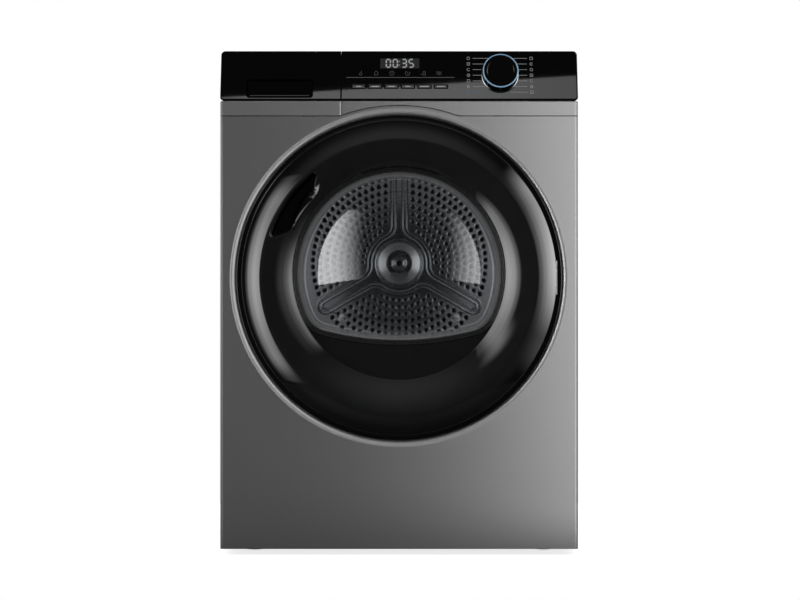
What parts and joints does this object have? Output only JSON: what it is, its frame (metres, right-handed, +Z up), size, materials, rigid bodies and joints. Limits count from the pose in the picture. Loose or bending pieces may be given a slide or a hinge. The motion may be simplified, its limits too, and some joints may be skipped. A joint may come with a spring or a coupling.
{
  "type": "clothes dryer",
  "caption": "Front-loading clothes dryer with a round bulged door, domed glass window, leaning control panel with knob and keys, and a pull-out water tank.",
  "frame": {"origin": "on the floor, under the centre of the whole machine's box", "axes": "+X to the right seen from the front, +Y to the rear, +Z up"},
  "size_m": [0.595, 0.647, 0.84],
  "materials": {
    "graphite_steel": "metallic dark grey lacquer, satin",
    "graphite_trim": "metallic dark grey, satin",
    "top_board": "dark grey melamine board",
    "gloss_black": "black, mirror smooth",
    "dark_plastic": "black, fine grain",
    "pale_plastic": "light grey, fine grain",
    "tank_plastic": "milky, translucent",
    "window_glass": "clear, slightly grey",
    "display_glass": "smoky window with pale digits",
    "galvanised": "zinc coated, soft spangle",
    "drum_steel": "stainless, satin",
    "bare_steel": "zinc plated",
    "fin_aluminium": "mill finish fins",
    "copper_pipe": "copper, slightly dull",
    "black_enamel": "black enamel",
    "felt": "grey wool felt",
    "black_rubber": "matt"
  },
  "bodies": {
    "cabinet": {"base_tray": "dark_plastic", "left_side_panel": "graphite_steel", "right_side_panel": "graphite_steel", "rear_panel": "galvanised", "rear_duct_cover": "galvanised", "top_cover": "top_board", "front_panel": "graphite_steel", "front_bulkhead": "pale_plastic", "control_panel": "gloss_black", "control_panel_trim": "graphite_trim", "control_box": "pale_plastic", "display_window": "display_glass", "drum_felt_seals": "felt", "drum_bearing": "galvanised", "drum_belt": "black_rubber", "drive_motor": "bare_steel", "fan_housing": "pale_plastic", "evaporator": "fin_aluminium", "condenser": "fin_aluminium", "compressor": "black_enamel", "refrigerant_pipes": "copper_pipe", "condensate_pump": "dark_plastic", "tank_housing": "dark_plastic", "hinge_bracket": "bare_steel", "door_lock": "dark_plastic", "cabinet_screws": "bare_steel", "mains_inlet": "dark_plastic"},
    "door": {"door_cover": "gloss_black", "window_surround": "gloss_black", "door_back_frame": "dark_plastic", "window_gasket": "black_rubber", "window_glass": "window_glass", "door_handle_cup": "dark_plastic", "hinge_leaf": "bare_steel", "door_hook": "bare_steel", "door_seal": "black_rubber"},
    "drum": {"drum_shell": "drum_steel", "drum_rear_wall": "drum_steel", "drum_lifters": "dark_plastic"},
    "motor_rotor": {"motor_shaft": "bare_steel", "process_fan": "dark_plastic"},
    "left_roller": {"left_support_roller": "black_rubber"},
    "right_roller": {"right_support_roller": "black_rubber"},
    "tension_arm": {"idler_arm": "galvanised"},
    "tension_pulley": {"idler_pulley": "dark_plastic"},
    "tank_drawer": {"water_tank": "tank_plastic", "tank_drawer_front": "gloss_black", "tank_drawer_trim": "graphite_trim"},
    "filter": {"lint_filter": "dark_plastic"},
    "knob": {"selector_knob": "gloss_black"},
    "button_1": {"key_1": "gloss_black"},
    "button_2": {"key_2": "gloss_black"},
    "button_3": {"key_3": "gloss_black"},
    "button_4": {"key_4": "gloss_black"},
    "button_5": {"key_5": "gloss_black"},
    "button_6": {"key_6": "gloss_black"},
    "front_left_screw_foot": {"front_left_foot": "black_rubber"},
    "front_right_screw_foot": {"front_right_foot": "black_rubber"},
    "rear_left_screw_foot": {"rear_left_foot": "black_rubber"},
    "rear_right_screw_foot": {"rear_right_foot": "black_rubber"}
  },
  "joints": [
    {"name": "door_hinge", "type": "hinge", "parent": "cabinet", "child": "door", "pos_m": [0.258, -0.293, 0.4605], "axis": [0, 0, 1], "range_deg": [0, 110]},
    {"name": "drum_spin", "type": "hinge", "parent": "cabinet", "child": "drum", "pos_m": [0, 0, 0.496], "axis": [0, 1, 0], "continuous": true},
    {"name": "motor_spin", "type": "hinge", "parent": "cabinet", "child": "motor_rotor", "pos_m": [0.08, 0, 0.11], "axis": [0, 1, 0], "continuous": true},
    {"name": "left_roller_spin", "type": "hinge", "parent": "cabinet", "child": "left_roller", "pos_m": [-0.14755, -0.19, 0.21849], "axis": [0, 1, 0], "continuous": true},
    {"name": "right_roller_spin", "type": "hinge", "parent": "cabinet", "child": "right_roller", "pos_m": [0.14755, -0.19, 0.21849], "axis": [0, 1, 0], "continuous": true},
    {"name": "tension_arm_swing", "type": "hinge", "parent": "cabinet", "child": "tension_arm", "pos_m": [0.11, 0.038, 0.06], "axis": [0, -1, 0], "range_deg": [0, 15], "stiffness_Nm_per_rad": 2, "springref_deg": -17.19},
    {"name": "tension_pulley_spin", "type": "hinge", "parent": "tension_arm", "child": "tension_pulley", "pos_m": [0.14, 0.022, 0.15], "axis": [0, 1, 0], "continuous": true},
    {"name": "tank_slide", "type": "slide", "parent": "cabinet", "child": "tank_drawer", "axis": [0, -1, 0], "range_m": [0, 0.4]},
    {"name": "filter_slide", "type": "slide", "parent": "cabinet", "child": "filter", "axis": [0, 0, 1], "range_m": [0, 0.17]},
    {"name": "knob_turn", "type": "hinge", "parent": "cabinet", "child": "knob", "pos_m": [0.168, -0.27858, 0.797], "axis": [0, -0.9659, 0.2588], "continuous": true},
    {"name": "button_1_press", "type": "slide", "parent": "cabinet", "child": "button_1", "axis": [0, 0.9659, -0.2588], "range_m": [0, 0.0015], "stiffness_N_per_m": 800, "springref_m": -0.0008},
    {"name": "button_2_press", "type": "slide", "parent": "cabinet", "child": "button_2", "axis": [0, 0.9659, -0.2588], "range_m": [0, 0.0015], "stiffness_N_per_m": 800, "springref_m": -0.0008},
    {"name": "button_3_press", "type": "slide", "parent": "cabinet", "child": "button_3", "axis": [0, 0.9659, -0.2588], "range_m": [0, 0.0015], "stiffness_N_per_m": 800, "springref_m": -0.0008},
    {"name": "button_4_press", "type": "slide", "parent": "cabinet", "child": "button_4", "axis": [0, 0.9659, -0.2588], "range_m": [0, 0.0015], "stiffness_N_per_m": 800, "springref_m": -0.0008},
    {"name": "button_5_press", "type": "slide", "parent": "cabinet", "child": "button_5", "axis": [0, 0.9659, -0.2588], "range_m": [0, 0.0015], "stiffness_N_per_m": 800, "springref_m": -0.0008},
    {"name": "button_6_press", "type": "slide", "parent": "cabinet", "child": "button_6", "axis": [0, 0.9659, -0.2588], "range_m": [0, 0.0015], "stiffness_N_per_m": 800, "springref_m": -0.0008},
    {"name": "front_left_foot_turn", "type": "hinge", "parent": "cabinet", "child": "front_left_screw_foot", "pos_m": [-0.245, -0.2035, 0.02], "axis": [0, 0, 1], "continuous": true},
    {"name": "front_right_foot_turn", "type": "hinge", "parent": "cabinet", "child": "front_right_screw_foot", "pos_m": [0.245, -0.2035, 0.02], "axis": [0, 0, 1], "continuous": true},
    {"name": "rear_left_foot_turn", "type": "hinge", "parent": "cabinet", "child": "rear_left_screw_foot", "pos_m": [-0.245, 0.2515, 0.02], "axis": [0, 0, 1], "continuous": true},
    {"name": "rear_right_foot_turn", "type": "hinge", "parent": "cabinet", "child": "rear_right_screw_foot", "pos_m": [0.245, 0.2515, 0.02], "axis": [0, 0, 1], "continuous": true}
  ],
  "couplings": [
    {"joint": "motor_spin", "follows": "drum_spin", "ratio": 27.699},
    {"joint": "tension_pulley_spin", "follows": "drum_spin", "ratio": 18.647},
    {"joint": "left_roller_spin", "follows": "drum_spin", "ratio": -9.4667},
    {"joint": "right_roller_spin", "follows": "drum_spin", "ratio": -9.4667}
  ]
}
